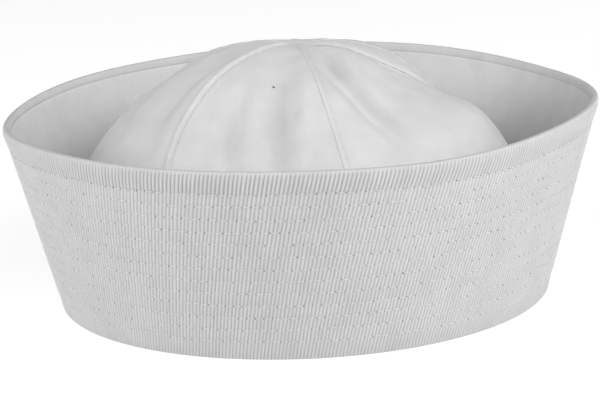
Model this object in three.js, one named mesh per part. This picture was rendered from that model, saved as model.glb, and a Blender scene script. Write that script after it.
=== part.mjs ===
// A white cotton sailor cap, standing by itself with its brim turned up.
// Six gores make the soft domed crown. One doubled band, stitched in rows, makes the flared brim round it.
// Millimetres. +Z is up, the front of the cap faces -Y, and the brim's lower fold rests on Z = 0.
// Azimuths are degrees round the cap from its front, growing towards +X.
// "Down" is the angle from the crown's top, 0 degrees, to its foot, 90 degrees.

import * as THREE from 'three';

// Driving dimensions
const HEAD_ROUND = 596; // inside the crown's foot, round the head
const LENGTH_RATIO = 1.06; // a head is longer, front to back, than it is wide
const SEWN_GAP = 0.4; // clearance kept between neighbouring pieces

const GORE_CLOTH = 1.4; // wall of a gore
const CROWN_HEIGHT = 103; // height of the dome before it slumps
const CROWN_SQUARENESS = 2.5; // exponent of the dome's upright section, where 2 is an ellipse
const CROWN_FOOT_LIFT = 0.6; // the crown's foot hangs this far clear of the ground
const TOP_OPENING = 1.2; // radius where the six points of the gores stop short of each other
const TOP_DIP = { depth: 1.2, radius: 11 }; // the seam crossing pulls the top down
const LAP_WIDTH = 3.6; // felled lap along a gore's left edge
const LAP_SHARE = 0.25; // most of a gore's width that its lap may take
const LAP_STEP = 0.6; // width of the lap's sloping edge
const LAP_RAISE = 0.5; // the lap stands this far proud
const LAP_FADE = 5; // degrees above the foot over which the lap goes flat
const FLATNESS_FADE = 4; // power that takes the flatness away towards the crown's foot

const BRIM_THICKNESS = 2.6;
const BRIM_HEIGHT = 75.4;
const RIM_FLARE = 20.1; // the rim stands this much further out than the foot
const BRIM_BOW = 0.2; // outward curve of the wall, at mid height
const HEM_DEPTH = 9; // from the rim to the first row of stitching
const ROW_PITCH = 5.1;
const ROW_COUNT = 13;
const ROW_PUFF = 0.3; // the cloth stands this far proud between two rows
const FOOT_ROUND = 0.8; // rounding of the fold that the cap rests on
const LEVEL_FOOT = 0.08; // share of the brim's height over which its cut edge turns level

// How finely each piece is faceted
const GORE_COLUMNS = 14;
const GORE_ROWS = 14;
const GORE_ROW_CROWDING = 1.15; // rows lie closer together near the top
const BRIM_COLUMNS = 60;
const RIM_STEPS = 4;
const INNER_ROWS = 8;

// The six seams, each at an azimuth at the crown's top and another at its foot. A seam with a bend of 1
// goes evenly from one to the other, and one with a larger bend makes most of its turn near the top. The
// gore to a seam's right goes from the round dome, flat 0, towards a flat panel, flat 1.
const SEAMS = [
  { top: -31, foot: -22, bend: 1, flat: 0.4 },
  { top: 19, foot: 32, bend: 1, flat: 0 },
  { top: 70, foot: 118, bend: 3, flat: 0 },
  { top: 116, foot: 168, bend: 1, flat: 0 },
  { top: 190, foot: 222, bend: 1, flat: 0 },
  { top: 258, foot: 272, bend: 1, flat: 0.2 },
];

// Where the soft crown slumps, seen from above: the centre's azimuth and its distance out from the middle,
// how far the slump spreads along that direction and aside from it, and its depth along the cloth's normal.
// The cloth bulges where the depth is less than nothing.
const SLUMPS = [
  { azimuth: 88, out: 52, along: 23, aside: 52, depth: 9.5 },
  { azimuth: 124, out: 66, along: 13, aside: 34, depth: 4.5 },
  { azimuth: 100, out: 72, along: 7.5, aside: 21, depth: -2.4 },
  { azimuth: -176, out: 20, along: 15, aside: 28, depth: 2 },
  { azimuth: -100, out: 55, along: 30, aside: 35, depth: 2.5 },
  { azimuth: -165, out: 40, along: 28, aside: 45, depth: 3.5 },
];

// Long soft dents in the crown: azimuths of the upper and lower end, how far down they run, the widths of
// their left and right sides, and their depth, which is less than nothing for a ridge.
const DENTS = [
  { upper: -10, lower: -2, from: 22, to: 66, left: 3, right: 3.6, depth: 3 },
  { upper: 2, lower: 8, from: 8, to: 66, left: 4.5, right: 6, depth: 4.5 },
  { upper: 20, lower: 12, from: 14, to: 66, left: 4, right: 4, depth: -1.5 },
  { upper: 35, lower: 53, from: 4, to: 50, left: 7, right: 6, depth: 3.6 },
  { upper: 77, lower: 124, from: 2, to: 42, left: 5, right: 2.5, depth: 1.4 },
  { upper: 128, lower: 122, from: 22, to: 60, left: 5, right: 7, depth: 2 },
  { upper: 186, lower: 178, from: 26, to: 66, left: 6, right: 6, depth: 2.2 },
  { upper: -122, lower: -116, from: 24, to: 62, left: 6, right: 5, depth: 2 },
];
const DENT_FADE = 0.6; // share of a dent's length over which it fades in and out
const DENT_END = 0.25; // how far into its fade a dent already is at its ends

// Slow waves of the rim: where, and how far the rim is lifted and pushed out there.
const RIM_WAVES = [
  { azimuth: -165, lift: 1.2, reach: 0.3 },
  { azimuth: -135, lift: -0.2, reach: 0.3 },
  { azimuth: -105, lift: 0.4, reach: -1 },
  { azimuth: -75, lift: -2.8, reach: 1.1 },
  { azimuth: -45, lift: 0.6, reach: 0 },
  { azimuth: -15, lift: 0.6, reach: 0.1 },
  { azimuth: 15, lift: 0.8, reach: -0.2 },
  { azimuth: 45, lift: -0.6, reach: 0.4 },
  { azimuth: 75, lift: 0.8, reach: -0.7 },
  { azimuth: 105, lift: -0.4, reach: 1.3 },
  { azimuth: 135, lift: -1.2, reach: -0.1 },
  { azimuth: 165, lift: 1, reach: -0.3 },
];
const WAVE_SPREAD = 24; // degrees over which a wave of the rim fades

// Sizes worked out from the driving dimensions
const OVAL_MEAN = Math.sqrt((1 + LENGTH_RATIO ** 2) / 2);
const CROWN_RADIUS = HEAD_ROUND / (2 * Math.PI * OVAL_MEAN) + GORE_CLOTH;
const FOOT_HALF = CROWN_RADIUS + SEWN_GAP + BRIM_THICKNESS;
const BRIM_SLANT = Math.hypot(BRIM_HEIGHT, RIM_FLARE);
const DOME_POWER = 2 / CROWN_SQUARENESS;
const TOP_DOWN = THREE.MathUtils.radToDeg(Math.asin((TOP_OPENING / CROWN_RADIUS) ** (1 / DOME_POWER)));
const FOOT_DOWN = THREE.MathUtils.radToDeg(Math.acos((CROWN_FOOT_LIFT / CROWN_HEIGHT) ** (1 / DOME_POWER)));

const WHITE_TWILL = { color: 0xefefec, roughness: 0.9, metalness: 0 };

// A bell curve, 1 at the centre and fading over the spread.
function bell(distance, spread) {
  return Math.exp(-((distance / spread) ** 2));
}

// The shorter way round from one azimuth to another, in degrees.
function turn(azimuth, centre) {
  return THREE.MathUtils.euclideanModulo(azimuth - centre + 180, 360) - 180;
}

// A point on an oval whose half width is given and whose length is the given multiple of it.
function ovalPoint(azimuth, half, ratio, height) {
  const angle = THREE.MathUtils.degToRad(azimuth);
  return new THREE.Vector3(half * Math.sin(angle), -half * ratio * Math.cos(angle), height);
}

// How far the slumps, the dents and the dip at the top push the crown's cloth in.
function crownSink(azimuth, down, radius) {
  let sink = TOP_DIP.depth * bell(radius, TOP_DIP.radius);
  for (const slump of SLUMPS) {
    const angle = THREE.MathUtils.degToRad(azimuth - slump.azimuth);
    const along = radius * Math.cos(angle) - slump.out;
    sink += slump.depth * bell(along, slump.along) * bell(radius * Math.sin(angle), slump.aside);
  }
  for (const dent of DENTS) {
    const along = (down - dent.from) / (dent.to - dent.from);
    const line = THREE.MathUtils.lerp(dent.upper, dent.lower, THREE.MathUtils.clamp(along, 0, 1));
    const aside = THREE.MathUtils.degToRad(turn(azimuth, line)) * radius;
    const spread = aside < 0 ? dent.left : dent.right;
    const inside = DENT_END + Math.min(along, 1 - along) / DENT_FADE;
    sink += dent.depth * bell(aside, spread) * THREE.MathUtils.smoothstep(inside, 0, 1);
  }
  return sink;
}

// The crown's outer surface: a dome with a superellipse for its upright section, moved along its normal.
function crownPoint(azimuth, down, raise = 0) {
  const angle = THREE.MathUtils.degToRad(THREE.MathUtils.clamp(down, 0, 90));
  const radius = CROWN_RADIUS * Math.sin(angle) ** DOME_POWER;
  const height = CROWN_HEIGHT * Math.cos(angle) ** DOME_POWER;
  const normal = new THREE.Vector2(
    (radius / CROWN_RADIUS) ** (CROWN_SQUARENESS - 1) / CROWN_RADIUS,
    (height / CROWN_HEIGHT) ** (CROWN_SQUARENESS - 1) / CROWN_HEIGHT,
  ).normalize();
  const move = raise - crownSink(azimuth, down, radius);
  const ratio = THREE.MathUtils.lerp(LENGTH_RATIO, 1, height / CROWN_HEIGHT);
  return ovalPoint(azimuth, radius + move * normal.x, ratio, height + move * normal.y);
}

// The crown's outward direction, from two short steps across its surface.
function crownNormal(azimuth, down) {
  const step = TOP_DOWN / 2;
  const across = crownPoint(azimuth + 1, down).sub(crownPoint(azimuth - 1, down));
  const along = crownPoint(azimuth, down + step).sub(crownPoint(azimuth, down - step));
  return along.cross(across).normalize();
}

// A closed cloth wall from two grids of points, its outer and inner faces, joined round their four edges.
function sheetGeometry(outer, inner) {
  const rows = outer.length;
  const columns = outer[0].length;
  const points = [...outer.flat(), ...inner.flat()];
  const front = (row, column) => row * columns + column;
  const back = (row, column) => rows * columns + front(row, column);
  const index = [];
  const quad = (a, b, c, d) => index.push(a, b, c, a, c, d);
  for (let row = 0; row < rows - 1; row += 1) {
    for (let column = 0; column < columns - 1; column += 1) {
      quad(front(row, column), front(row + 1, column), front(row + 1, column + 1), front(row, column + 1));
      quad(back(row, column), back(row, column + 1), back(row + 1, column + 1), back(row + 1, column));
    }
  }
  const lastRow = rows - 1;
  const lastColumn = columns - 1;
  for (let row = 0; row < lastRow; row += 1) {
    const next = row + 1;
    quad(front(row, 0), back(row, 0), back(next, 0), front(next, 0));
    quad(front(row, lastColumn), front(next, lastColumn), back(next, lastColumn), back(row, lastColumn));
  }
  for (let column = 0; column < lastColumn; column += 1) {
    const next = column + 1;
    quad(front(0, column), front(0, next), back(0, next), back(0, column));
    quad(front(lastRow, column), back(lastRow, column), back(lastRow, next), front(lastRow, next));
  }
  return new THREE.BufferGeometry().setFromPoints(points).setIndex(index);
}

// A closed ring from a loop of section points at each place round the cap.
function ringGeometry(places) {
  const columns = places.length;
  const rows = places[0].length;
  const corner = (column, row) => (column % columns) * rows + (row % rows);
  const index = [];
  for (let column = 0; column < columns; column += 1) {
    for (let row = 0; row < rows; row += 1) {
      const [a, b] = [corner(column, row), corner(column + 1, row)];
      const [c, d] = [corner(column + 1, row + 1), corner(column, row + 1)];
      index.push(a, b, c, a, c, d);
    }
  }
  return new THREE.BufferGeometry().setFromPoints(places.flat()).setIndex(index);
}

// A seam's azimuth at an angle down from the crown's top.
function seamAzimuth(seam, down) {
  return THREE.MathUtils.lerp(seam.top, seam.foot, 1 - (1 - down / 90) ** seam.bend);
}

// Places across a gore, as shares of its width, each with how far its cloth is raised by the lap.
function goreColumns(width, lapRaise) {
  const lap = Math.min(LAP_WIDTH / width, LAP_SHARE);
  const step = Math.min(LAP_STEP / width, lap / 2);
  const columns = [{ share: 0, raise: lapRaise }, { share: lap - step, raise: lapRaise }];
  for (let column = 0; column <= GORE_COLUMNS; column += 1) {
    columns.push({ share: lap + ((1 - lap) * column) / GORE_COLUMNS, raise: 0 });
  }
  return columns;
}

// How far a flat gore lies inside the round dome: most across its middle, so that its seams make corners.
function goreHollow(flat, share, width, radius, down) {
  const fade = 1 - (down / 90) ** FLATNESS_FADE;
  return ((flat * width ** 2) / (2 * radius)) * share * (1 - share) * fade;
}

// One gore: the crown's surface between two seams, as thick as its cloth, with a lap along its left edge.
function goreGeometry(leftSeam, rightSeam) {
  const outer = [];
  const inner = [];
  for (let row = 0; row <= GORE_ROWS; row += 1) {
    const down = THREE.MathUtils.lerp(TOP_DOWN, FOOT_DOWN, (row / GORE_ROWS) ** GORE_ROW_CROWDING);
    const left = seamAzimuth(leftSeam, down);
    const span = turn(seamAzimuth(rightSeam, down), left);
    const radius = CROWN_RADIUS * Math.sin(THREE.MathUtils.degToRad(down)) ** DOME_POWER;
    const margin = THREE.MathUtils.radToDeg(SEWN_GAP / 2 / radius);
    const width = THREE.MathUtils.degToRad(span) * radius - SEWN_GAP;
    const lapRaise = LAP_RAISE * Math.min(1, (FOOT_DOWN - down) / LAP_FADE);
    outer.push([]);
    inner.push([]);
    for (const { share, raise } of goreColumns(width, lapRaise)) {
      const azimuth = left + margin + share * (span - 2 * margin);
      const hollow = goreHollow(leftSeam.flat, share, width, radius, down);
      const point = crownPoint(azimuth, down, -hollow);
      const normal = crownNormal(azimuth, down);
      outer[row].push(point.clone().addScaledVector(normal, raise));
      inner[row].push(point.clone().addScaledVector(normal, -GORE_CLOTH));
    }
  }
  return sheetGeometry(outer, inner);
}

// A point of the brim: how far below the rim, measured down the wall, and how far out from its outer face.
function brimPoint(azimuth, below, out) {
  const share = 1 - below / BRIM_SLANT;
  let lift = 0;
  let reach = 0;
  for (const wave of RIM_WAVES) {
    const strength = bell(turn(azimuth, wave.azimuth), WAVE_SPREAD);
    lift += wave.lift * strength;
    reach += wave.reach * strength;
  }
  const bow = 4 * BRIM_BOW * share * (1 - share);
  const half = FOOT_HALF + RIM_FLARE * share + bow + reach * share ** 2;
  const height = BRIM_HEIGHT * share + lift * share ** 2;
  const lean = RIM_FLARE + 4 * BRIM_BOW * (1 - 2 * share) + 2 * reach * share;
  const normal = new THREE.Vector2(BRIM_HEIGHT, -lean * Math.min(1, share / LEVEL_FOOT)).normalize();
  return ovalPoint(azimuth, half + out * normal.x, LENGTH_RATIO, height + out * normal.y);
}

// The brim's section, once round: the fold it rests on, the quilted outside, the round rim, plain inside.
function brimSection() {
  const section = [
    { below: BRIM_SLANT, out: -BRIM_THICKNESS },
    { below: BRIM_SLANT, out: -FOOT_ROUND },
    { below: BRIM_SLANT - FOOT_ROUND, out: 0 },
  ];
  for (let row = ROW_COUNT - 1; row >= 0; row -= 1) {
    const below = HEM_DEPTH + row * ROW_PITCH;
    section.push({ below, out: -ROW_PUFF }, { below: below - ROW_PITCH / 2, out: 0 });
  }
  const round = BRIM_THICKNESS / 2;
  for (let step = 0; step <= RIM_STEPS; step += 1) {
    const angle = (Math.PI * step) / RIM_STEPS;
    section.push({ below: round - round * Math.sin(angle), out: round * Math.cos(angle) - round });
  }
  for (let row = 1; row < INNER_ROWS; row += 1) {
    section.push({ below: (BRIM_SLANT * row) / INNER_ROWS, out: -BRIM_THICKNESS });
  }
  return section;
}

function brimGeometry() {
  const section = brimSection();
  const places = [];
  for (let column = 0; column < BRIM_COLUMNS; column += 1) {
    const azimuth = (360 * column) / BRIM_COLUMNS;
    places.push(section.map(({ below, out }) => brimPoint(azimuth, below, out)));
  }
  return ringGeometry(places);
}

function clothPiece(name, geometry) {
  const piece = new THREE.Mesh(geometry, new THREE.MeshStandardMaterial(WHITE_TWILL));
  piece.name = name;
  return piece;
}

const cap = new THREE.Group();
SEAMS.forEach((seam, place) => {
  const nextSeam = SEAMS[(place + 1) % SEAMS.length];
  cap.add(clothPiece(`crown_gore_${place + 1}`, goreGeometry(seam, nextSeam)));
});
cap.add(clothPiece('brim', brimGeometry()));

export default cap;
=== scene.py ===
import logging
import math
from dataclasses import dataclass
from enum import Enum
from typing import Any

import bpy
import numpy as np
from mathutils import Matrix, Vector
from numpy.typing import NDArray


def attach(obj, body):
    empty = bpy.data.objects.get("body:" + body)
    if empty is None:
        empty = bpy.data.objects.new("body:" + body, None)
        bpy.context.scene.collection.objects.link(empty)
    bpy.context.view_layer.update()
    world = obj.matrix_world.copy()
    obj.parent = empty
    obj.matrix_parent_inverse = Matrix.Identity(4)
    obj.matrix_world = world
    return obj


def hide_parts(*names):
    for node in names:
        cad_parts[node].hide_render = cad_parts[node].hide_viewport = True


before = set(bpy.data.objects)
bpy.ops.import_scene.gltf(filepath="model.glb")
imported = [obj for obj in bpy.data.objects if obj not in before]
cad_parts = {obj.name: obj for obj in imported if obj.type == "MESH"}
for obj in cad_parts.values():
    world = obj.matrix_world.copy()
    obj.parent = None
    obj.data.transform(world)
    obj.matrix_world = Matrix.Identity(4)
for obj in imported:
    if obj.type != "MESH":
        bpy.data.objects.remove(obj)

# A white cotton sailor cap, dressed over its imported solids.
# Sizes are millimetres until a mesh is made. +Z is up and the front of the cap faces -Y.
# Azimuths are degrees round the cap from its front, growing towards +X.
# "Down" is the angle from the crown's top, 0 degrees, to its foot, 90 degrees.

Array = NDArray[np.float64]
Amount = Array | float
Colour = tuple[float, float, float]
Pair = tuple[float, float]
LOG = logging.getLogger("sailor_cap")
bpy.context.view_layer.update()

MM = 0.001
FULL_TURN, HALF_TURN, QUARTER_TURN = 360.0, 180.0, 90.0
CORNERS = 4

# The colour sockets of a Mix node: two that go in and the one that comes out.
MIX_LOW, MIX_HIGH, MIX_COLOUR = 6, 7, 2

# The head opening's oval gives the crown's half width, and the brim stands round the crown.
HEAD_ROUND = 596.0
LENGTH_RATIO = 1.06
SEWN_GAP = 0.4
GORE_WALL = 1.4
BRIM_WALL = 2.6
CROWN_RADIUS = HEAD_ROUND / (math.tau * math.sqrt((1 + LENGTH_RATIO**2) / 2)) + GORE_WALL
FOOT_HALF = CROWN_RADIUS + SEWN_GAP + BRIM_WALL


class Slot(Enum):
    """The record's material slots."""

    CROWN = "crown_twill"
    BRIM = "brim_twill"


class Held(Enum):
    """How a piece of cloth is kept in its form."""

    SEWN_TIGHT = "stretched"
    TURNED_UP = "folded"


# Small shapes that the surfaces are made of


def bell(distance: Amount, spread: Amount) -> Amount:
    """A bell curve, 1 at the centre, falling to 1/e at the spread."""
    return np.exp(-((distance / spread) ** 2))


def turn(azimuth: Amount, centre: Amount) -> Amount:
    """The shorter way round from one azimuth to another, in degrees."""
    return (azimuth - centre + HALF_TURN) % FULL_TURN - HALF_TURN


def ease(value: Amount) -> Amount:
    """A smooth step from 0 to 1: three times the square less twice the cube of the clipped value."""
    step = np.clip(value, 0.0, 1.0)
    return step * step * (3.0 - 2.0 * step)


def oval(azimuth: Amount, half: Amount, ratio: Amount, height: Amount) -> Array:
    """Points on ovals round the cap.

    Args:
        azimuth: degrees from the front.
        half: half the oval's width.
        ratio: the oval's length over its width.
        height: height of each point.

    Returns:
        Points, with x, y and z on the last axis.
    """
    angle = np.radians(azimuth)
    x, y, z = np.broadcast_arrays(half * np.sin(angle), -half * ratio * np.cos(angle), height)
    return np.stack([x, y, z], axis=-1)


def unit(vectors: Array) -> Array:
    """The same vectors, each of length 1."""
    return vectors / np.linalg.norm(vectors, axis=-1, keepdims=True)


@dataclass(frozen=True)
class Seam:
    """A crown seam, by its azimuth at the crown's top and at its foot, and how early it bends over.

    The panel to its right goes from the round dome, flat 0, towards a flat panel, flat 1. Its sewing
    pulls the cloth in by a little, on both sides, the lap to its right stands proud, and the panel to its
    left is tucked in under the lap.
    """

    top: float
    foot: float
    bend: float = 1.0
    flat: float = 0.0
    pull: float = 0.1
    lap: float = 0.3
    tuck: float = 0.0
    tuck_width: float = 1.0

    def azimuth(self, down: Amount) -> Amount:
        """The seam's azimuth at an angle down from the top, straight where the bend is 1."""
        share = 1.0 - (1.0 - down / QUARTER_TURN) ** self.bend
        return self.top + (self.foot - self.top) * share


@dataclass(frozen=True)
class Slump:
    """A broad hollow in the crown, or a swelling where its depth is less than nothing.

    It is placed as seen from above, and its depth is along the cloth's normal.
    """

    azimuth: float
    out: float
    along: float
    aside: float
    depth: float


@dataclass(frozen=True)
class Dent:
    """A long soft dent in the crown, or a ridge where its depth is less than nothing.

    It runs from an upper azimuth to a lower one, between two angles down, and has a width to its left
    and another to its right.
    """

    upper: float
    lower: float
    start: float
    end: float
    left: float
    right: float
    depth: float


@dataclass(frozen=True)
class RimWave:
    """A slow wave of the brim's rim: how far the rim is lifted and pushed out there."""

    azimuth: float
    lift: float
    reach: float
    spread: float = 24.0


SEAMS = (
    Seam(top=-31, foot=-22, flat=0.4, pull=0.08, lap=0.7, tuck=0.4, tuck_width=2.5),
    Seam(top=19, foot=32, pull=0.1, lap=0.3),
    Seam(top=70, foot=128, bend=3, pull=0.1, lap=0.25, tuck=0.3, tuck_width=2.5),
    Seam(top=116, foot=168),
    Seam(top=190, foot=222),
    Seam(top=258, foot=272, flat=0.22),
)

SLUMPS = (
    Slump(azimuth=88, out=51, along=24, aside=55, depth=9.5),
    Slump(azimuth=124, out=66, along=13, aside=34, depth=4.5),
    Slump(azimuth=100, out=72, along=7.5, aside=21, depth=-2.4),
    Slump(azimuth=-176, out=20, along=15, aside=28, depth=2),
    Slump(azimuth=-100, out=55, along=30, aside=35, depth=2.5),
    Slump(azimuth=-95, out=60, along=14, aside=36, depth=2.6),
    Slump(azimuth=-75, out=88, along=9, aside=36, depth=-2.2),
    Slump(azimuth=-165, out=40, along=28, aside=45, depth=3.5),
)

DENTS = (
    Dent(upper=-11.5, lower=-3.5, start=22, end=66, left=3.6, right=4, depth=3),
    Dent(upper=-47, lower=-36, start=8, end=56, left=14, right=6, depth=2.4),
    Dent(upper=5.5, lower=11, start=8, end=66, left=6, right=4.5, depth=4.6),
    Dent(upper=20, lower=12, start=14, end=66, left=4, right=4, depth=-1.5),
    Dent(upper=23, lower=35, start=3, end=24, left=1.6, right=2.6, depth=1.6),
    Dent(upper=34, lower=52, start=4, end=54, left=7, right=6, depth=6.2),
    Dent(upper=46, lower=42, start=0, end=19, left=4.5, right=5.5, depth=2.4),
    Dent(upper=77, lower=124, start=2, end=42, left=5, right=2.5, depth=1.6),
    Dent(upper=128, lower=122, start=22, end=60, left=5, right=7, depth=2),
    Dent(upper=186, lower=178, start=26, end=66, left=6, right=6, depth=2.2),
    Dent(upper=-122, lower=-116, start=24, end=62, left=6, right=5, depth=2),
)

RIM_WAVES = (
    RimWave(azimuth=-165, lift=1.2, reach=0.3),
    RimWave(azimuth=-135, lift=-0.2, reach=0.3),
    RimWave(azimuth=-105, lift=0.4, reach=-1.8),
    RimWave(azimuth=-75, lift=-2.2, reach=1.1),
    RimWave(azimuth=-45, lift=0.6, reach=0),
    RimWave(azimuth=-15, lift=0.6, reach=0.1),
    RimWave(azimuth=15, lift=0.8, reach=-0.2),
    RimWave(azimuth=45, lift=-0.6, reach=0.4),
    RimWave(azimuth=75, lift=0.8, reach=-1.1),
    RimWave(azimuth=105, lift=0.5, reach=2.2),
    RimWave(azimuth=135, lift=-1.2, reach=-0.1),
    RimWave(azimuth=165, lift=1, reach=-0.3),
)


@dataclass(frozen=True)
class CrownForm:
    """The crown's outer surface: a dome with a superellipse section, pushed in where it slumps."""

    radius: float = CROWN_RADIUS
    height: float = 103.0
    squareness: float = 2.5
    top_dip: float = 1.2
    top_dip_radius: float = 11.0
    dent_fade: float = 0.6
    dent_end: float = 0.25
    foot_start: float = 88.0
    foot_turn: float = 1.8
    foot_reach: float = 1.5

    def dome_radius(self, down: Amount) -> Amount:
        """Half width of the dome: its radius times a power of the sine of the angle down."""
        return self.radius * np.sin(np.radians(down)) ** (2.0 / self.squareness)

    def sink(self, azimuth: Amount, down: Amount, radius: Amount) -> Amount:
        """How far the cloth is pushed in along its normal.

        A bell dips the top, a two-way bell makes each slump, and each dent is a bell across a line
        that fades in and out towards the line's ends.

        Args:
            azimuth: degrees from the front.
            down: degrees from the top.
            radius: the dome's half width there.

        Returns:
            The depth at each point.
        """
        depth = self.top_dip * bell(radius, self.top_dip_radius)
        for slump in SLUMPS:
            angle = np.radians(azimuth - slump.azimuth)
            along = bell(radius * np.cos(angle) - slump.out, slump.along)
            depth = depth + slump.depth * along * bell(radius * np.sin(angle), slump.aside)
        for dent in DENTS:
            along = (down - dent.start) / (dent.end - dent.start)
            line = dent.upper + (dent.lower - dent.upper) * np.clip(along, 0.0, 1.0)
            aside = np.radians(turn(azimuth, line)) * radius
            spread = np.where(aside < 0.0, dent.left, dent.right)
            inside = ease(np.minimum(along, 1.0 - along) / self.dent_fade + self.dent_end)
            depth = depth + dent.depth * bell(aside, spread) * inside
        return depth

    def surface(self, azimuth: Amount, down: Amount, raised: Amount) -> Array:
        """Points of the dome.

        The section is a superellipse. Each point is moved along the section's normal by what it is
        raised less what it is sunk, and the dome's plan goes from a circle at the top to the head's
        oval at the foot. Over its last few millimetres the cloth turns out to meet the brim.

        Args:
            azimuth: degrees from the front.
            down: degrees from the top.
            raised: how far each point stands proud of the cloth.

        Returns:
            Points, with x, y and z on the last axis.
        """
        radius = self.dome_radius(down)
        height = self.height * np.cos(np.radians(down)) ** (2.0 / self.squareness)
        out = (radius / self.radius) ** (self.squareness - 1.0) / self.radius
        up = (height / self.height) ** (self.squareness - 1.0) / self.height
        size = np.hypot(out, up)
        sewn = ease((down - self.foot_start) / self.foot_turn)
        move = (1.0 - sewn) * (raised - self.sink(azimuth, down, radius)) + sewn * self.foot_reach
        ratio = LENGTH_RATIO + (1.0 - LENGTH_RATIO) * height / self.height
        return oval(azimuth, radius + move * out / size, ratio, height + move * up / size)


@dataclass(frozen=True)
class BrimForm:
    """The turned-up brim's outer face: a flared wall with a slight bow and a waving rim."""

    foot_half: float = FOOT_HALF
    height: float = 75.4
    flare: float = 19.6
    bow: float = 0.2
    level_foot: float = 0.08
    hem_depth: float = 9.0
    row_pitch: float = 5.1
    row_count: int = 13
    row_wander: float = 0.3
    wander_shift: float = 1.7
    wander_turns: Pair = (5.0, 13.0)

    @property
    def slant(self) -> float:
        """Length of the wall from its foot to its rim."""
        return math.hypot(self.height, self.flare)

    def row_depth(self, row: Array | int) -> Amount:
        """How far a row of stitching lies below the rim."""
        return self.hem_depth + row * self.row_pitch

    def wander(self, azimuth: Array, below: Array) -> Array:
        """How far the rows stray up and down: slow waves that change from row to row."""
        shift = self.wander_shift * below / self.row_pitch
        few, many = (np.radians(azimuth * turns) for turns in self.wander_turns)
        return self.row_wander * (np.sin(few + shift) + np.sin(many - 2.0 * shift)) / 2.0

    def face(self, azimuth: Array, below: Array, out: Amount) -> Array:
        """Points of the brim.

        The wall's half width is a straight flare plus a parabola for its bow, and the rim waves lift
        and push it by bells round the cap that grow with the square of the height. A point is then
        moved out along the section's normal, which turns level at the foot.

        Args:
            azimuth: degrees from the front.
            below: how far below the rim, measured down the wall.
            out: how far out from the outer face, less than nothing towards the inside.

        Returns:
            Points, with x, y and z on the last axis.
        """
        share = 1.0 - below / self.slant
        lift = sum(wave.lift * bell(turn(azimuth, wave.azimuth), wave.spread) for wave in RIM_WAVES)
        reach = sum(wave.reach * bell(turn(azimuth, wave.azimuth), wave.spread) for wave in RIM_WAVES)
        bow = 4.0 * self.bow * share * (1.0 - share)
        half = self.foot_half + self.flare * share + bow + reach * share**2
        height = self.height * share + lift * share**2
        lean = self.flare + 4.0 * self.bow * (1.0 - 2.0 * share) + 2.0 * reach * share
        lean = lean * np.clip(share / self.level_foot, 0.0, 1.0)
        size = np.hypot(self.height, lean)
        return oval(azimuth, half + out * self.height / size, LENGTH_RATIO, height - out * lean / size)


# Meshes from arrays


def grid_quads(rows: int, columns: int, ring_rows: bool, ring_columns: bool) -> tuple[Array, Array]:
    """Corners of every face of a grid.

    Args:
        rows: number of rows of points.
        columns: number of columns of points.
        ring_rows: whether the last row joins the first.
        ring_columns: whether the last column joins the first.

    Returns:
        Point numbers of each face, and its corners in a grid that hasn't been joined, for a cloth map.
    """
    row, column = np.meshgrid(
        np.arange(rows if ring_rows else rows - 1),
        np.arange(columns if ring_columns else columns - 1),
        indexing="ij",
    )
    corner_rows = np.stack([row, row + 1, row + 1, row], axis=-1).reshape(-1, CORNERS)
    corner_columns = np.stack([column, column, column + 1, column + 1], axis=-1).reshape(-1, CORNERS)
    points = (corner_rows % rows) * columns + corner_columns % columns
    map_columns = columns + 1 if ring_columns else columns
    return points, corner_rows * map_columns + corner_columns


def quad_object(name: str, points: Array, quads: Array, cloth_map: Array | None = None) -> bpy.types.Object:
    """A smooth mesh object at the origin, made from arrays.

    Args:
        name: the piece's name.
        points: its points in millimetres, with x, y and z on the last axis.
        quads: four point numbers for each face.
        cloth_map: two cloth coordinates for each corner of each face.

    Returns:
        The new object, linked to the scene.
    """
    mesh = bpy.data.meshes.new(name)
    flat = points.reshape(-1, 3) * MM
    mesh.vertices.add(len(flat))
    mesh.vertices.foreach_set("co", flat.astype(np.float32).ravel())
    mesh.loops.add(quads.size)
    mesh.loops.foreach_set("vertex_index", quads.astype(np.int32).ravel())
    mesh.polygons.add(len(quads))
    mesh.polygons.foreach_set("loop_start", np.arange(0, quads.size, CORNERS, dtype=np.int32))
    mesh.polygons.foreach_set("use_smooth", np.ones(len(quads), dtype=bool))
    mesh.update(calc_edges=True)
    if cloth_map is not None:
        layer = mesh.uv_layers.new(name="cloth")
        layer.uv.foreach_set("vector", cloth_map.astype(np.float32).ravel())
    mesh.validate()
    piece = bpy.data.objects.new(name, mesh)
    bpy.context.scene.collection.objects.link(piece)
    return piece


def dress(piece: bpy.types.Object, material: bpy.types.Material, node: str = "") -> None:
    """Gives a piece its finish and its place on the cap.

    Args:
        piece: the finished object.
        material: its shader.
        node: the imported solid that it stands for, if any.
    """
    piece.data.materials.append(material)
    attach(piece, "root")
    if node:
        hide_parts(node)
    LOG.info("%s: %d faces", piece.name, len(piece.data.polygons))


# Shader maths


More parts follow.
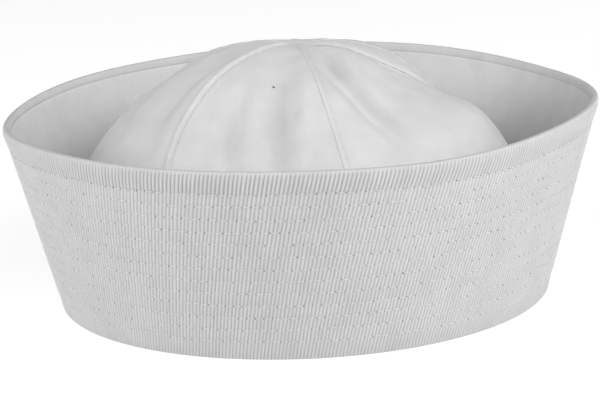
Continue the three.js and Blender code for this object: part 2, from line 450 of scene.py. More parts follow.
class Value:
    """A number that changes over a surface, so that shader sums are written as Python expressions."""

    def __init__(self, shader: "Shader", socket: bpy.types.NodeSocket) -> None:
        """Keeps the socket that the number comes out of."""
        self.shader = shader
        self.socket = socket

    def _sum(self, operation: str, *terms: "Value | float") -> "Value":
        """Adds one Math node with these terms in order."""
        values = {place: term for place, term in enumerate(terms)}
        return self.shader.node("ShaderNodeMath", {"operation": operation}, values).out()

    def __add__(self, other: "Value | float") -> "Value":
        """This plus another."""
        return self._sum("ADD", self, other)

    def __radd__(self, other: float) -> "Value":
        """A number plus this."""
        return self._sum("ADD", other, self)

    def __sub__(self, other: "Value | float") -> "Value":
        """This less another."""
        return self._sum("SUBTRACT", self, other)

    def __rsub__(self, other: float) -> "Value":
        """A number less this."""
        return self._sum("SUBTRACT", other, self)

    def __mul__(self, other: "Value | float") -> "Value":
        """This times another."""
        return self._sum("MULTIPLY", self, other)

    def __rmul__(self, other: float) -> "Value":
        """A number times this."""
        return self._sum("MULTIPLY", other, self)

    def __truediv__(self, other: "Value | float") -> "Value":
        """This over another."""
        return self._sum("DIVIDE", self, other)

    def __rtruediv__(self, other: float) -> "Value":
        """A number over this."""
        return self._sum("DIVIDE", other, self)

    def __pow__(self, other: "Value | float") -> "Value":
        """This to a power."""
        return self._sum("POWER", self, other)

    def sine(self) -> "Value":
        """The sine of this many radians."""
        return self._sum("SINE", self)

    def whole(self) -> "Value":
        """The nearest whole number."""
        return self._sum("ROUND", self)

    def over(self, low: float, high: float) -> "Value":
        """A smooth step from 0 at the low value to 1 at the high one."""
        settings = {"interpolation_type": "SMOOTHSTEP", "clamp": True}
        return self.shader.node("ShaderNodeMapRange", settings, {0: self, 1: low, 2: high}).out()

    def band(self, rise: Pair, fall: Pair) -> "Value":
        """A smooth step up over the first pair of values times a smooth step down over the second."""
        return self.over(*rise) * (1.0 - self.over(*fall))


class Made:
    """A node that was added to a shader."""

    def __init__(self, shader: "Shader", node: bpy.types.Node) -> None:
        """Keeps the node and the shader that it is in."""
        self.shader = shader
        self.node = node

    def out(self, socket: int | str = 0) -> Value:
        """One of the node's outputs."""
        return Value(self.shader, self.node.outputs[socket])


class Shader:
    """A material's node tree, with one method that makes any node."""

    def __init__(self, name: str) -> None:
        """Starts an empty material."""
        self.material = bpy.data.materials.new(name)
        self.material.use_nodes = True
        self.tree = self.material.node_tree
        self.tree.nodes.clear()

    def node(self, kind: str, settings: dict[str, Any], inputs: dict[int | str, Any]) -> Made:
        """Adds a node.

        Args:
            kind: the node's type.
            settings: its own options, which are set first.
            inputs: values or links for its sockets, by name or number.

        Returns:
            The new node.
        """
        made = self.tree.nodes.new(kind)
        for option, choice in settings.items():
            setattr(made, option, choice)
        for socket, value in inputs.items():
            if isinstance(value, Value):
                self.tree.links.new(value.socket, made.inputs[socket])
            else:
                made.inputs[socket].default_value = value
        return Made(self, made)

    def place(self) -> Value:
        """Where a point is on the piece, in metres."""
        return self.node("ShaderNodeTexCoord", {}, {}).out("Object")

    def cloth_map(self) -> tuple[Value, Value]:
        """The two coordinates of the piece's own cloth map."""
        both = self.node("ShaderNodeUVMap", {"uv_map": "cloth"}, {}).out()
        parts = self.node("ShaderNodeSeparateXYZ", {}, {0: both})
        return parts.out(0), parts.out(1)

    def noise(self, vector: Value, pitch: float, detail: float = 2.0) -> Value:
        """Soft noise whose lumps are about as many millimetres across as the pitch."""
        inputs = {"Vector": vector, "Scale": 1.0 / (pitch * MM), "Detail": detail}
        return self.node("ShaderNodeTexNoise", {}, inputs).out(0)

    def mix(self, share: Value, low: Value | Colour, high: Value | Colour) -> Value:
        """A colour between two, each a plain one or one that changes over the surface."""
        settings = {"data_type": "RGBA", "clamp_factor": True}
        ends = [end if isinstance(end, Value) else (*end, 1.0) for end in (low, high)]
        inputs = {"Factor": share, MIX_LOW: ends[0], MIX_HIGH: ends[1]}
        return self.node("ShaderNodeMix", settings, inputs).out(MIX_COLOUR)

    def bump(self, height: Value, depth: float) -> Value:
        """A surface normal from a height between 0 and 1 and its depth in millimetres."""
        inputs = {"Height": height, "Distance": depth * MM, "Strength": 1.0}
        return self.node("ShaderNodeBump", {}, inputs).out()

    def close(self, inputs: dict[int | str, Any]) -> bpy.types.Material:
        """Ends the tree in a principled surface with these inputs."""
        surface = self.node("ShaderNodeBsdfPrincipled", {}, inputs).out()
        self.node("ShaderNodeOutputMaterial", {}, {"Surface": surface})
        return self.material


# Finishes


def grey(level: float) -> Colour:
    """A plain grey, as bleached cotton and its shadows are."""
    return level, level, level


@dataclass(frozen=True)
class CottonLook:
    """What every white cotton finish shares."""

    light: Colour = grey(0.575)
    dull: Colour = grey(0.525)
    # The colour of the painted shade in the needle holes.
    hole: Colour = grey(0.13)
    roughness: float = 0.92
    sheen: float = 0.12
    gloss: float = 0.2
    mottle_pitch: float = 9.0
    mottle_share: float = 0.6
    mottle_edge: Pair = (0.3, 0.7)
    fibre_pitch: float = 0.35

    def inputs(self) -> dict[int | str, Any]:
        """Constant inputs of the principled surface."""
        return {"Roughness": self.roughness, "Sheen Weight": self.sheen, "Specular IOR Level": self.gloss}

    def mottle(self, shader: Shader) -> Value:
        """Slow unevenness of the bleached cloth, between 0 and 1."""
        place = shader.place()
        slow = self.mottle_share * shader.noise(place, self.mottle_pitch)
        fine = (1.0 - self.mottle_share) * shader.noise(place, self.fibre_pitch)
        return (slow + fine).over(*self.mottle_edge)

    def cloth(self, shader: Shader) -> Value:
        """The cloth's own colour, dull and light in turn."""
        return shader.mix(self.mottle(shader), self.dull, self.light)


# The outside of the brim is a little greyer than the rest.
GREYER_COTTON = CottonLook(light=grey(0.525), dull=grey(0.475))


@dataclass(frozen=True)
class CrownTwill:
    """The crown's cloth: fine diagonal ribs, running down to the right."""

    fleck: tuple[float, float, float]
    cotton: CottonLook = CottonLook()
    pitch: float = 1.12
    steepness: float = 66.0
    depth: float = 0.11
    wale_share: float = 0.7
    least_wale: float = 0.35
    patch_size: float = 14.0
    patch_edge: Pair = (0.4, 0.65)
    fleck_size: float = 0.75
    fleck_core: float = 0.4
    fleck_colour: Colour = grey(0.05)

    def material(self) -> bpy.types.Material:
        """A wave across the diagonal that is weaker in patches, with fibres and one small fleck."""
        shader = Shader("crown_twill")
        across, along = shader.cloth_map()
        angle = math.radians(self.steepness)
        turns = math.tau / (self.pitch * MM)
        phase = (across * math.sin(angle) - along * math.cos(angle)) * turns
        patch = shader.noise(shader.place(), self.patch_size).over(*self.patch_edge)
        wale = 0.5 + 0.5 * phase.sine() * (self.least_wale + (1.0 - self.least_wale) * patch)
        fibre = shader.noise(shader.place(), self.cotton.fibre_pitch)
        height = self.wale_share * wale + (1.0 - self.wale_share) * fibre
        ends = {0: shader.place(), 1: self.fleck}
        away = shader.node("ShaderNodeVectorMath", {"operation": "DISTANCE"}, ends).out("Value")
        fleck = 1.0 - away.over(self.fleck_core * self.fleck_size * MM, self.fleck_size * MM)
        colour = shader.mix(fleck, self.cotton.cloth(shader), self.fleck_colour)
        inputs = self.cotton.inputs()
        inputs |= {"Base Color": colour, "Normal": shader.bump(height, self.depth)}
        return shader.close(inputs)


@dataclass(frozen=True)
class BrimTwill:
    """The brim's ribbed cloth, with painted shade between its ribs and in the needle holes along each row.
    """

    form: BrimForm
    stitches: int
    row_shift: float
    ribs: int
    rib_lean: float
    rib_depth: float
    # How strong the painted shade is between the ribs, and in the needle holes.
    painted_shade_share: float
    hole_shade_share: float
    cotton: CottonLook
    # Painted shade in the needle holes: the size of a spot, its darkest core and the least strength of a
    # spot.
    hole_size: float = 0.5
    hole_core: float = 0.3
    least_hole: float = 0.15
    # The colour of the painted shade between the ribs, the crests that stay clear of it, and where it fades
    # in below the rim.
    groove: Colour = grey(0.29)
    groove_edge: Pair = (0.0, 0.8)
    rim_edge: Pair = (0.0, 1.4)
    # Painted shade in the lower hem, as a thin dark line along the fold over the rim, and in a band under
    # the rim's roll.
    hem_shade: float = 0.35
    hem_rise: Pair = (1.0, 5.0)
    hem_fall: Pair = (0.95, 1.05)
    fold_shade: float = 0.8
    fold_rise: Pair = (-0.4, -0.15)
    fold_fall: Pair = (0.1, 0.3)
    roll_shade: float = 0.16
    roll_rise: Pair = (0.0, 0.6)
    roll_fall: Pair = (1.6, 4.0)
    fibre_depth: float = 0.1

    def holes(self, shader: Shader, around: Value, below: Value) -> Value:
        """Painted shade in the needle holes: up to 1 in a hole, 0 away from it.

        The distance to the nearest row and to the nearest end of a stitch in that row give a round
        spot, and a random number for each spot makes some darker than others. Only the numbers of real
        rows count.
        """
        form = self.form
        row = ((below - form.hem_depth) / form.row_pitch).whole()
        rise = below - (form.hem_depth + row * form.row_pitch)
        step = around * float(self.stitches) - row * self.row_shift
        stitch = math.tau * form.foot_half / self.stitches
        aside = (step - step.whole()) * stitch
        distance = (aside * aside + rise * rise) ** 0.5
        quilted = (row + 0.5).over(0.0, 0.1) * (form.row_count - 0.5 - row).over(0.0, 0.1)
        which = shader.node("ShaderNodeCombineXYZ", {}, {0: step.whole(), 1: row}).out()
        flat = {"noise_dimensions": "2D"}
        chance = shader.node("ShaderNodeTexWhiteNoise", flat, {"Vector": which}).out()
        spot = 1.0 - distance.over(self.hole_core * self.hole_size, self.hole_size)
        return spot * quilted * (self.least_hole + (1.0 - self.least_hole) * chance) * self.hole_shade_share

    def painted_shade(self, crest: Value, below: Value) -> Value:
        """Painted shade between the ribs, more of it in the hem, along the fold over the rim and under the
        rim's roll.
        """
        hem_fall = (self.hem_fall[0] * self.form.hem_depth, self.hem_fall[1] * self.form.hem_depth)
        hem = below.band(self.hem_rise, hem_fall)
        groove = (1.0 - crest.over(*self.groove_edge)) * below.over(*self.rim_edge)
        fold = below.band(self.fold_rise, self.fold_fall)
        roll = below.band(self.roll_rise, self.roll_fall)
        total = groove * (1.0 + self.hem_shade * hem) + self.fold_shade * fold + self.roll_shade * roll
        return total * self.painted_shade_share

    def material(self, name: str) -> bpy.types.Material:
        """White ribs, a wave across the leaning lines, with painted shade between them and in the needle
        holes, and fibres all over.
        """
        shader = Shader(name)
        around, below = shader.cloth_map()
        lean = self.rib_lean * self.ribs / FULL_TURN
        turns = around * float(self.ribs) - lean * (1.0 - below / self.form.slant)
        crest = 0.5 + 0.5 * (turns * math.tau + math.pi / 2.0).sine()
        fibre = shader.noise(shader.place(), self.cotton.fibre_pitch)
        depth = self.fibre_depth + self.rib_depth
        height = (fibre * self.fibre_depth + crest * self.rib_depth) / depth
        # Painted shade between the ribs, then painted shade in the needle holes.
        cloth = shader.mix(self.painted_shade(crest, below), self.cotton.cloth(shader), self.groove)
        colour = shader.mix(self.holes(shader, around, below), cloth, self.cotton.hole)
        surface = self.cotton.inputs()
        surface |= {"Base Color": colour, "Normal": shader.bump(height, depth)}
        return shader.close(surface)


@dataclass(frozen=True)
class SewingThread:
    """Bright white sewing thread, a little smoother than the cloth."""

    colour: Colour = grey(0.58)
    shade: Colour = grey(0.52)
    roughness: float = 0.7
    gloss: float = 0.3
    twist_pitch: float = 0.4

    def material(self) -> bpy.types.Material:
        """White with the fine unevenness of twisted strands."""
        shader = Shader("sewing_thread")
        strand = shader.noise(shader.place(), self.twist_pitch)
        colour = shader.mix(strand, self.shade, self.colour)
        inputs = {"Roughness": self.roughness, "Specular IOR Level": self.gloss}
        return shader.close(inputs | {"Base Color": colour})


# Stitching

# Two faces that close the six-sided end of a stitch.
END_FACES = ((0, 1, 2, 3), (0, 3, 4, 5))


@dataclass(frozen=True)
class Stitching:
    """Thread stitches, each a short arched strand whose ends dive into the cloth."""

    length: float
    thickness: float
    arch: float
    sink: float
    stations: int = 4
    sides: int = 6
    blunt: float = 0.86

    def strands(self, at: Array, along: Array, up: Array) -> tuple[Array, Array]:
        """Points and faces of every stitch at once.

        Each strand is a ring carried along a parabola. The ring is full in the middle and shrinks
        like an ellipse towards the ends, and the parabola sinks the ends.

        Args:
            at: centre of each stitch on the cloth.
            along: its direction.
            up: the cloth's outward direction there.

        Returns:
            Points, and four point numbers for each face.
        """
        across = np.cross(up, along)
        station = np.linspace(-1.0, 1.0, self.stations)[None, :, None]
        angle = np.linspace(0.0, math.tau, self.sides, endpoint=False)[None, None, :]
        radius = self.thickness / 2.0 * np.sqrt(1.0 - (self.blunt * station) ** 2)
        rise = self.arch * (1.0 - station**2) - self.sink + radius * np.sin(angle)
        shift = station * self.length / 2.0 + 0.0 * angle
        aside = radius * np.cos(angle)
        centre, *axes = [vector[:, None, None, :] for vector in (at, along, across, up)]
        moves = zip(axes, (shift, aside, rise))
        points = centre + sum(vector * amount[..., None] for vector, amount in moves)
        one, _ = grid_quads(self.stations, self.sides, ring_rows=False, ring_columns=True)
        first = np.array(END_FACES)
        last = first[:, ::-1] + (self.stations - 1) * self.sides
        one = np.concatenate([one, first, last])
        offsets = np.arange(len(at))[:, None, None] * (self.stations * self.sides)
        return points, (one[None] + offsets).reshape(-1, CORNERS)


# The crown

# Each wave of the soft cloth, by its turns round the cap, its tilt down the crown and its shift.
RIPPLE_WAVES = ((9.0, 3.1, 0.0), (-4.0, 11.0, 0.0), (17.0, -7.3, 40.0))


@dataclass(frozen=True)
class CrownGore:
    """One tapered panel of the crown, with the felled lap of its left seam."""

    number: int
    left: Seam
    right: Seam
    form: CrownForm = CrownForm()
    wall: float = 1.2
    top_down: float = 0.002
    foot_down: float = 89.9
    row_crowding: float = 1.1
    rows: int = 110
    middle_columns: int = 60
    lap_width: float = 1.6
    lap_edge: float = 0.5
    fell_inset: float = 2.4
    fell_width: float = 0.4
    fell_share: float = 0.9
    lap_fade: float = 5.0
    groove_width: float = 0.4
    flat_foot: float = 4.0
    pucker: float = 0.12
    pucker_pitch: float = 6.5
    pucker_beat: float = 0.37
    pucker_reach: float = 8.0
    ripple: float = 0.3
    full_width: float = 14.0
    flat_top: float = 3.0
    flat_fade: float = 8.0
    near_left: tuple[float, ...] = (
        0.0, 0.15, 0.3, 0.5, 0.8, 1.2, 1.7, 2.3, 2.8, 3.1, 3.4, 3.7, 4.0, 4.8, 6.0
    )
    near_right: tuple[float, ...] = (1.7, 1.0, 0.6, 0.35, 0.15, 0.0)
    ripple_start: float = 20.0
    ripple_share: float = 0.7
    stitch_inset: float = 2.3
    stitch_side: float = 0.4
    stitch_ahead: float = 0.5
    stitch_top: float = 7.0
    stitch_foot: float = 86.0
    stitch_samples: int = 1200

    @property
    def solid(self) -> str:
        """The name of the solid that the panel stands for."""
        return f"crown_gore_{self.number}"

    def downs(self) -> Array:
        """Rows of the panel from its point to its foot, a little closer together near the point."""
        share = np.linspace(0.0, 1.0, self.rows) ** self.row_crowding
        return self.top_down + (self.foot_down - self.top_down) * share

    def span(self, down: Amount) -> tuple[Amount, Amount, Amount]:
        """The left seam's azimuth, the degrees from it to the right one, and the panel's width."""
        left = self.left.azimuth(down)
        span = (self.right.azimuth(down) - left) % FULL_TURN
        return left, span, np.radians(span) * self.form.dome_radius(down)

    def narrow(self, width: Amount) -> Amount:
        """1 where the panel is wide, and less in step with its width near the point."""
        return np.minimum(1.0, width / self.full_width)

    def columns(self, width: Array) -> Array:
        """Distances across the panel from its left seam.

        They crowd near both seams, at fixed distances that shrink where the panel is narrow, and
        are even between.

        Args:
            width: the panel's width at each row, one row to a line.

        Returns:
            A distance for each row and column.
        """
        narrow = self.narrow(width)
        near_left = narrow * np.array(self.near_left)
        near_right = width - narrow * np.array(self.near_right)
        start, end = near_left[:, -1:], near_right[:, :1]
        middle = start + (end - start) * np.linspace(0.0, 1.0, self.middle_columns + 2)[1:-1]
        return np.concatenate([near_left, middle, near_right], axis=1)

    def raised(self, across: Amount, width: Amount, down: Amount) -> Amount:
        """How far the cloth stands proud of the plain dome.

        A bell cuts a groove along each seam. The lap beside the left one is half a bell, highest near the
        seam, that drops into the groove in a smooth step, and a narrow bell marks where it is sewn down.
        A wider bell tucks the cloth under at the right seam. Puckers, a product of two sines along the
        seam, die away from both seams. All of it goes flat where the seams meet. A parabola across the
        panel makes it flatter than the dome, so that the seams stand out as corners.

        Args:
            across: distance from the left seam.
            width: the panel's width.
            down: degrees from the top.

        Returns:
            The height at each point.
        """
        narrow = self.narrow(width)
        to_right = width - across
        lap = bell(across, self.lap_width * narrow) * ease(across / (self.lap_edge * narrow))
        lap = lap * np.clip((self.foot_down - down) / self.lap_fade, 0.0, 1.0)
        fell = bell(across - self.fell_inset * narrow, self.fell_width)
        pulled = self.left.pull * bell(across, self.groove_width)
        pulled = pulled + self.right.pull * bell(to_right, self.groove_width)
        length = np.radians(down) * self.form.radius * math.tau / self.pucker_pitch
        beside = bell(across - self.fell_inset, self.pucker_reach) + bell(to_right, self.pucker_reach)
        ripples = np.sin(length + self.number) * np.sin(self.pucker_beat * length + 2.0 * self.number)
        proud = self.left.lap * (lap - self.fell_share * fell) + self.pucker * beside * ripples
        proud = proud - pulled - self.right.tuck * bell(to_right, self.right.tuck_width)
        radius = self.form.dome_radius(down)
        hollow = self.left.flat * across * (width - across) / (2.0 * radius)
        hollow = hollow * (1.0 - (down / QUARTER_TURN) ** self.flat_foot)
        return proud * ease((radius - self.flat_top) / self.flat_fade) - hollow

    def soft_ripple(self, azimuth: Amount, down: Amount) -> Amount:
        """Slow unevenness of soft cloth: two crossed sines and a third, still at the top."""
        one, other, third = (
            np.sin(np.radians(azimuth * turns + down * tilt + shift)) for turns, tilt, shift in RIPPLE_WAVES
        )
        waves = self.ripple_share * (one * other) + (1.0 - self.ripple_share) * third
        return self.ripple * ease(down / self.ripple_start) * waves

    def face(self, azimuth: Amount, down: Amount, across: Amount, width: Amount) -> Array:
        """Points of the panel's outer face."""
        raised = self.raised(across, width, down) + self.soft_ripple(azimuth, down)
        return self.form.surface(azimuth, down, raised)

    def lay_out(self) -> tuple[Array, Array, Array, Array]:
        """Where each grid point lies: azimuth, degrees down, distance across and panel width."""
        down = self.downs()[:, None]
        left, span, width = self.span(down)
        across = self.columns(width)
        return left + span * across / width, down + 0.0 * across, across, width + 0.0 * across

    def spot(self, azimuth: float, down: float) -> tuple[float, float, float]:
        """A place on the panel's outer face, in metres."""
        left, span, width = self.span(down)
        x, y, z = self.face(azimuth, down, (azimuth - left) / span * width, width) * MM
        return float(x), float(y), float(z)

    def build(self, material: bpy.types.Material) -> None:
        """Makes the panel: the dome between two seams, given a wall inwards."""
        azimuth, down, across, width = self.lay_out()
        points = self.face(azimuth, down, across, width)
        steps = np.linalg.norm(np.diff(points[:, points.shape[1] // 2], axis=0), axis=-1)
        length = np.concatenate([[0.0], np.cumsum(steps)])[:, None]
        quads, corners = grid_quads(*down.shape, ring_rows=False, ring_columns=False)
        cloth = np.stack([across - width / 2.0, length + 0.0 * across], axis=-1).reshape(-1, 2) * MM
        piece = quad_object(f"crown_panel_{self.number}", points, quads, cloth[corners])
        wall = piece.modifiers.new("wall", "SOLIDIFY")
        wall.thickness = self.wall * MM
        wall.offset = -1.0
        dress(piece, material, self.solid)
        area = float(np.sum(steps * (width[1:, 0] + width[:-1, 0]) / 2.0)) * MM**2

    def seam_stitches(self, length: float) -> tuple[Array, Array, Array]:
        """Places for a row of top-stitching along the lap's edge.

        Args:
            length: distance from one stitch to the next.

        Returns:
            Each stitch's centre, its direction and the cloth's outward direction.
        """
        down = np.linspace(self.stitch_top, self.stitch_foot, self.stitch_samples)
        left, span, width = self.span(down)

        def line(inset: float) -> Array:
            """Points along the seam, some way in from it."""
            across = inset * self.narrow(width)
            return self.face(left + span * across / width, down, across, width)

        path = line(self.stitch_inset)
        side = line(self.stitch_inset + self.stitch_side)
        steps = np.concatenate([[0.0], np.cumsum(np.linalg.norm(np.diff(path, axis=0), axis=-1))])

        def points_at(places: Array, curve: Array) -> Array:
            """Points at these distances along a curve, in straight lines between its own points."""
            return np.stack([np.interp(places, steps, curve[:, axis]) for axis in range(3)], axis=-1)

        places = np.arange(length, steps[-1] - length, length)
        at = points_at(places, path)
        along = unit(points_at(places + self.stitch_ahead, path) - at)
        return at, along, unit(np.cross(along, points_at(places, side) - at))


@dataclass(frozen=True)
class Crown:
    """The crown: a panel from each seam to the next, with top-stitching on its lap."""

    stitching: Stitching = Stitching(length=2.2, thickness=0.3, arch=0.14, sink=0.06)
    stitch_spacing: float = 1.12
    fleck_azimuth: float = 2.2
    fleck_down: float = 23.9

    def build(self, thread: bpy.types.Material) -> None:
        """Makes the panels of one cloth, and their stitches of this thread."""
        pairs = zip(SEAMS, SEAMS[1:] + SEAMS[:1])
        gores = [CrownGore(number, left, right) for number, (left, right) in enumerate(pairs, start=1)]
        cloth = CrownTwill(gores[0].spot(self.fleck_azimuth, self.fleck_down)).material()
        for gore in gores:
            gore.build(cloth)
            places = gore.seam_stitches(self.stitching.length * self.stitch_spacing)
            stitches = quad_object(f"seam_stitching_{gore.number}", *self.stitching.strands(*places))
            dress(stitches, thread)


# The brim


@dataclass(frozen=True)
class Brim:
    """The turned-up brim: a ribbed outer layer with a hem over the rim, an inner layer, and stitching."""

    form: BrimForm = BrimForm()
    ribs: int = 455
    rib_samples: int = 4
    rib_lean: float = 8.0
    rib_height: float = 0.2
    hem_rib_height: float = 0.26
    row_rib_share: float = 0.6
    rib_round: float = 0.8
    rib_crest: float = 0.25
    rib_raise: float = 0.05
    rib_uneven: float = 0.18
    rib_shift: float = 0.15
    rib_stray: float = 0.25
    rim_ribs: tuple[Pair, ...] = ((0.0, 0.9), (45.0, 0.5), (90.0, 0.25), (135.0, 0.2), (180.0, 0.2))
    puff: float = 0.16
    inner_puff: float = 0.6
    hem_puff: float = 0.28
    hem_swell: tuple[Pair, ...] = ((0.55, 0.2), (0.3, 0.25))
    hem_inside: float = 3.6
    outer_layer: float = 1.2
    layer_gap: float = 0.1
    foot_round: float = 0.8
    inner_columns: int = 540
    stitches: int = 197
    row_shift: float = 0.37
    stitch_length: float = 3.1
    stitch_sink: float = 0.1
    stitch_arch: float = 0.6
    stitch_sway: Pair = (0.03, 0.08)
    thread: float = 0.36
    thread_inside: float = 0.16
    probe_turn: float = 0.2
    probe_drop: float = 0.3
    seed: int = 7

    def outer_section(self) -> tuple[Array, Array, Array]:
        """The outer layer's section, once round.

        It runs from the fold at the foot up the quilted outside, over the rim, a little way down
        inside as the hem, and back down between the layers.

        Returns:
            Distance below the rim, distance out from the outer face, and height of the ribs.
        """
        form = self.form
        round_edge = BRIM_WALL / 2.0
        rows = [
            (form.slant, -self.outer_layer, 0.0),
            (form.slant, -self.foot_round, 0.0),
            (form.slant - 0.3 * self.foot_round, -0.3 * self.foot_round, 0.5 * self.rib_height),
            (form.slant - self.foot_round, 0.0, self.rib_height),
        ]
        for row in reversed(range(form.row_count)):
            below = float(form.row_depth(row))
            sunk = self.puff if row > 0 else self.hem_puff
            rows.append((below, -sunk, self.row_rib_share * self.rib_height))
            rows.append((below - 0.25 * form.row_pitch, 0.0, self.rib_height))
            if row > 0:
                rows.append((below - 0.75 * form.row_pitch, 0.0, self.rib_height))
        for share, swell in self.hem_swell:
            rows.append((share * form.hem_depth, swell, self.hem_rib_height))
        for degrees, share in self.rim_ribs:
            angle = math.radians(degrees)
            below = round_edge * (1.0 - math.sin(angle))
            rows.append((below, round_edge * (math.cos(angle) - 1.0), share * self.hem_rib_height))
        rows.append((0.8 * self.hem_inside, -BRIM_WALL, 0.2 * self.rib_height))
        rows.append((self.hem_inside, 0.2 - BRIM_WALL, 0.0))
        rows.append((1.3 * self.hem_inside, -self.outer_layer, 0.0))
        table = np.array(rows)
        return table[:, 0], table[:, 1], table[:, 2]

    def quilted(self, below: Array) -> Array:
        """1 where the rows of stitching run, in a smooth step from 0 in the hem and to 0 at the foot."""
        form = self.form
        under_hem = ease((below - 0.5 * form.hem_depth) / (0.4 * form.hem_depth))
        return under_hem * ease((form.slant - below) / form.row_pitch)

    def build_layer(
        self, name: str, grid: Array, azimuth: Array, below: Array, cloth: bpy.types.Material
    ) -> None:
        """Makes a layer from its grid, which closes round the cap and round its own section.

        Args:
            name: the layer's name.
            grid: its points, with the first column once more at the end.
            azimuth: degrees round the cloth at each point of the grid.
            below: distance below the rim of each row, less than nothing inside the hem.
            cloth: its ribbed cloth.
        """
        columns = grid.shape[1] - 1
        quads, corners = grid_quads(len(grid), columns, ring_rows=True, ring_columns=True)
        around, down = (np.concatenate([part, part[:1]]) for part in (azimuth / FULL_TURN, below))
        cloth_map = np.stack(np.broadcast_arrays(around, down), axis=-1).reshape(-1, 2)
        piece = quad_object(name, grid[:, :columns], quads[:, ::-1], cloth_map[corners[:, ::-1]])
        dress(piece, cloth, "brim")
        form = self.form
        band = math.tau * (form.foot_half + form.flare / 2.0) * (1.0 + LENGTH_RATIO) / 2.0
        band * MM

    def build_outer(self, cloth: bpy.types.Material) -> None:
        """Makes the ribbed outer layer.

        The section is carried round the cap on a grid that leans with the ribs. Each rib is a cosine
        across a few columns, less a part of its double so that the grooves are narrower than the
        crests, with its own small unevenness.

        Args:
            cloth: its ribbed cloth.
        """
        form = self.form
        below, out, rib = (part[:, None] for part in self.outer_section())
        columns = self.ribs * self.rib_samples
        column = np.arange(columns + 1)[None, :]
        uneven = np.random.default_rng(self.seed).uniform(-1.0, 1.0, (2, self.ribs))
        of_rib = (column // self.rib_samples) % self.ribs
        angle = math.tau * column / self.rib_samples
        wave = self.rib_round * np.cos(angle) - self.rib_crest * np.cos(2.0 * angle) + self.rib_raise
        wave = wave * (1.0 + self.rib_uneven * uneven[0][of_rib])
        azimuth = FULL_TURN * column / columns + self.rib_lean * (1.0 - below / form.slant)
        quilted = self.quilted(below)
        stray = form.wander(azimuth, below) * quilted
        shoved = np.random.default_rng(self.seed + 5).uniform(-1.0, 1.0, (len(below), self.ribs))
        shoved = self.rib_stray * shoved[:, of_rib[0]] * quilted
        shoved = (self.rib_shift * uneven[1][of_rib] + shoved) * FULL_TURN / columns
        grid = form.face(azimuth + shoved, below + stray, out + rib * wave)
        map_below = np.where(out < -self.outer_layer, -below, below)
        self.build_layer("brim_outside", grid, azimuth, map_below, cloth)

    def build_inner(self, cloth: bpy.types.Material) -> None:
        """Makes the inner layer, a closed band that tucks under the hem and is quilted with the outer one.

        Args:
            cloth: its ribbed cloth, with the ribs as bump.
        """
        form = self.form
        hidden = -self.outer_layer - self.layer_gap
        rows = [(form.slant, hidden), (0.8 * self.hem_inside, hidden)]
        rows.append((0.8 * self.hem_inside, 0.25 - BRIM_WALL))
        rows.append((1.3 * self.hem_inside, 0.1 - BRIM_WALL))
        for row in range(form.row_count):
            below = float(form.row_depth(row))
            rows.append((below, self.inner_puff * self.puff - BRIM_WALL))
            rows.append((below + 0.28 * form.row_pitch, -BRIM_WALL))
            rows.append((below + 0.72 * form.row_pitch, -BRIM_WALL))
        rows.append((form.slant, -BRIM_WALL))
        table = np.array(rows)
        below, out = table[:, :1], table[:, 1:]
        column = np.arange(self.inner_columns + 1)[None, :]
        azimuth = FULL_TURN * column / self.inner_columns - self.rib_lean * (1.0 - below / form.slant)
        stray = form.wander(azimuth, below) * self.quilted(below)
        grid = form.face(azimuth, below + stray, out)
        self.build_layer("brim_inside", grid, azimuth, below, cloth)

    def row_stitches(self, inside: bool) -> tuple[Array, Array, Array]:
        """Places for every stitch of the quilting rows.

        Args:
            inside: whether they are the stitches on the inner layer.

        Returns:
            Each stitch's centre, its direction and the cloth's outward direction.
        """
        form = self.form
        row = np.arange(form.row_count)[:, None]
        stitch = np.arange(self.stitches)[None, :]
        chances = (2, form.row_count, self.stitches)
        aside, rise = np.random.default_rng(self.seed + 1 + inside).uniform(-1.0, 1.0, chances)
        place = stitch + 0.5 + row * self.row_shift + self.stitch_sway[0] * aside
        azimuth = FULL_TURN * place / self.stitches
        nominal = form.row_depth(row) + 0.0 * azimuth
        below = nominal + form.wander(azimuth, nominal) + self.stitch_sway[1] * rise
        out = self.inner_puff * self.puff - BRIM_WALL if inside else -self.puff

        def beside(degrees: float, lower: float) -> Array:
            """Points of the cloth a little beside the stitches or below them."""
            return form.face(azimuth + degrees, below + lower, out).reshape(-1, 3)

        along = unit(beside(self.probe_turn, 0.0) - beside(-self.probe_turn, 0.0))
        upright = beside(0.0, -self.probe_drop) - beside(0.0, self.probe_drop)
        up = unit(np.cross(along, upright))
        return beside(0.0, 0.0), along, -up if inside else up

    def build_stitches(self, material: bpy.types.Material) -> None:
        """Makes the rows of stitching on both layers, finer inside."""
        layers = (
            ("brim_stitching", False, self.thread),
            ("brim_stitching_inside", True, self.thread_inside),
        )
        for name, inside, thickness in layers:
            arch = self.stitch_arch * thickness
            stitching = Stitching(self.stitch_length, thickness, arch, self.stitch_sink)
            strands = stitching.strands(*self.row_stitches(inside))
            dress(quad_object(name, *strands), material)

    def build(self, thread: bpy.types.Material) -> None:
        """Makes both layers, each of its own cloth, and their stitches of this thread."""
        shared = (self.form, self.stitches, self.row_shift, self.ribs)
        # Painted shade between the ribs and in the needle holes outside; only a trace of painted shade
        # between the ribs inside.
        outside = BrimTwill(
            *shared, self.rib_lean, rib_depth=0.0, painted_shade_share=0.52, hole_shade_share=0.9, cotton=GREYER_COTTON
        )
        inside = BrimTwill(
            *shared, -self.rib_lean, rib_depth=0.05, painted_shade_share=0.04, hole_shade_share=0.0, cotton=CottonLook()
        )
        self.build_outer(outside.material("ribbed_twill"))
        self.build_inner(inside.material("ribbed_twill_inside"))
        self.build_stitches(thread)


# The studio


def direction(azimuth: float, elevation: float) -> Vector:
    """The direction from the cap to a light or the camera, by its azimuth and elevation in degrees."""
    a, e = math.radians(azimuth), math.radians(elevation)
    return Vector((math.sin(a) * math.cos(e), -math.cos(a) * math.cos(e), math.sin(e)))


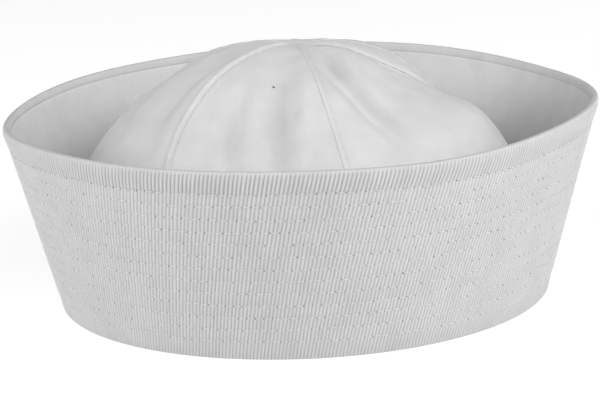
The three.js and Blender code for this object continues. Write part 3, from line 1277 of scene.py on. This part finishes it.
@dataclass(frozen=True)
class SoftBox:
    """A square soft light that looks at the cap."""

    name: str
    azimuth: float
    elevation: float
    power: float
    distance: float = 1.6
    size: float = 0.8

    def build(self) -> None:
        """Hangs the light and turns it to the cap."""
        back = direction(self.azimuth, self.elevation)
        data = bpy.data.lights.new(self.name, "AREA")
        data.shape = "SQUARE"
        data.size = self.size
        data.energy = self.power
        light = bpy.data.objects.new(self.name, data)
        light.location = back * self.distance
        light.rotation_mode = "QUATERNION"
        light.rotation_quaternion = (-back).to_track_quat("-Z", "Y")
        bpy.context.scene.collection.objects.link(light)


SOFT_BOXES = (
    SoftBox("key_light", azimuth=65.0, elevation=40.0, power=8.8),
    SoftBox("right_light", azimuth=95.0, elevation=22.0, power=9.2),
    SoftBox("near_right_light", azimuth=45.0, elevation=24.0, power=4.2),
    SoftBox("front_light", azimuth=15.0, elevation=30.0, power=10.2),
    SoftBox("near_left_light", azimuth=-45.0, elevation=36.0, power=4.8),
    SoftBox("left_light", azimuth=-70.0, elevation=20.0, power=14.3),
    SoftBox("back_light", azimuth=130.0, elevation=45.0, power=4.8),
)


@dataclass(frozen=True)
class Studio:
    """A pale floor, soft light and the camera."""

    azimuth: float = 15.0
    elevation: float = 13.05
    roll: float = -2.03
    distance: float = 1.382
    lens: float = 208.6
    sensor: float = 36.0
    orbit_height: float = 0.04765
    aim_height: float = 0.0367
    aim_right: float = -0.0012
    floor_half: float = 6.0
    floor_colour: Colour = grey(0.3)
    floor_shade: Colour = grey(0.297)
    floor_grain: float = 40.0
    floor_roughness: float = 0.95
    floor_gloss: float = 0.1
    floor_glow: float = 0.78
    sky: float = 0.02

    def build_floor(self) -> None:
        """Lays a plain pale floor under the cap."""
        shader = Shader("pale_floor")
        grain = shader.noise(shader.place(), self.floor_grain)
        colour = shader.mix(grain, self.floor_shade, self.floor_colour)
        inputs = {"Roughness": self.floor_roughness, "Specular IOR Level": self.floor_gloss}
        inputs |= {"Emission Color": (*grey(1.0), 1.0), "Emission Strength": self.floor_glow}
        inputs |= {"Base Color": colour}
        material = shader.close(inputs)
        half = self.floor_half / MM
        points = np.array([[-half, -half, 0.0], [half, -half, 0.0], [half, half, 0.0], [-half, half, 0.0]])
        floor = quad_object("floor", points, np.array([[0, 1, 2, 3]]))
        floor.data.materials.append(material)

    def build_light(self) -> None:
        """Sets the sky and the soft boxes."""
        world = bpy.data.worlds.new("studio")
        world.use_nodes = True
        background = world.node_tree.nodes["Background"]
        background.inputs["Color"].default_value = (*grey(1.0), 1.0)
        background.inputs["Strength"].default_value = self.sky
        bpy.context.scene.world = world
        for box in SOFT_BOXES:
            box.build()
        bpy.context.scene.view_settings.view_transform = "Standard"

    def build_camera(self) -> None:
        """Sets the camera at the photograph's angle, turned a little about its own axis."""
        around = math.radians(self.azimuth)
        right = Vector((math.cos(around), math.sin(around), 0.0))
        orbit = Vector((0.0, 0.0, self.orbit_height))
        aim = right * self.aim_right + Vector((0.0, 0.0, self.aim_height))
        place = orbit + direction(self.azimuth, self.elevation) * self.distance
        data = bpy.data.cameras.new("camera")
        data.lens = self.lens
        data.sensor_width = self.sensor
        camera = bpy.data.objects.new("camera", data)
        camera.location = place
        camera.rotation_mode = "QUATERNION"
        straight = (aim - place).to_track_quat("-Z", "Y")
        roll = Matrix.Rotation(math.radians(self.roll), 3, "Z").to_quaternion()
        camera.rotation_quaternion = straight @ roll
        bpy.context.scene.collection.objects.link(camera)
        bpy.context.scene.camera = camera


def main() -> None:
    """Builds the studio and the cap, whose pieces are reported as they are dressed."""
    logging.basicConfig(level=logging.INFO, format="%(message)s")
    studio = Studio()
    studio.build_floor()
    studio.build_light()
    studio.build_camera()
    thread = SewingThread().material()
    Crown().build(thread)
    Brim().build(thread)


if __name__ == "__main__":
    main()
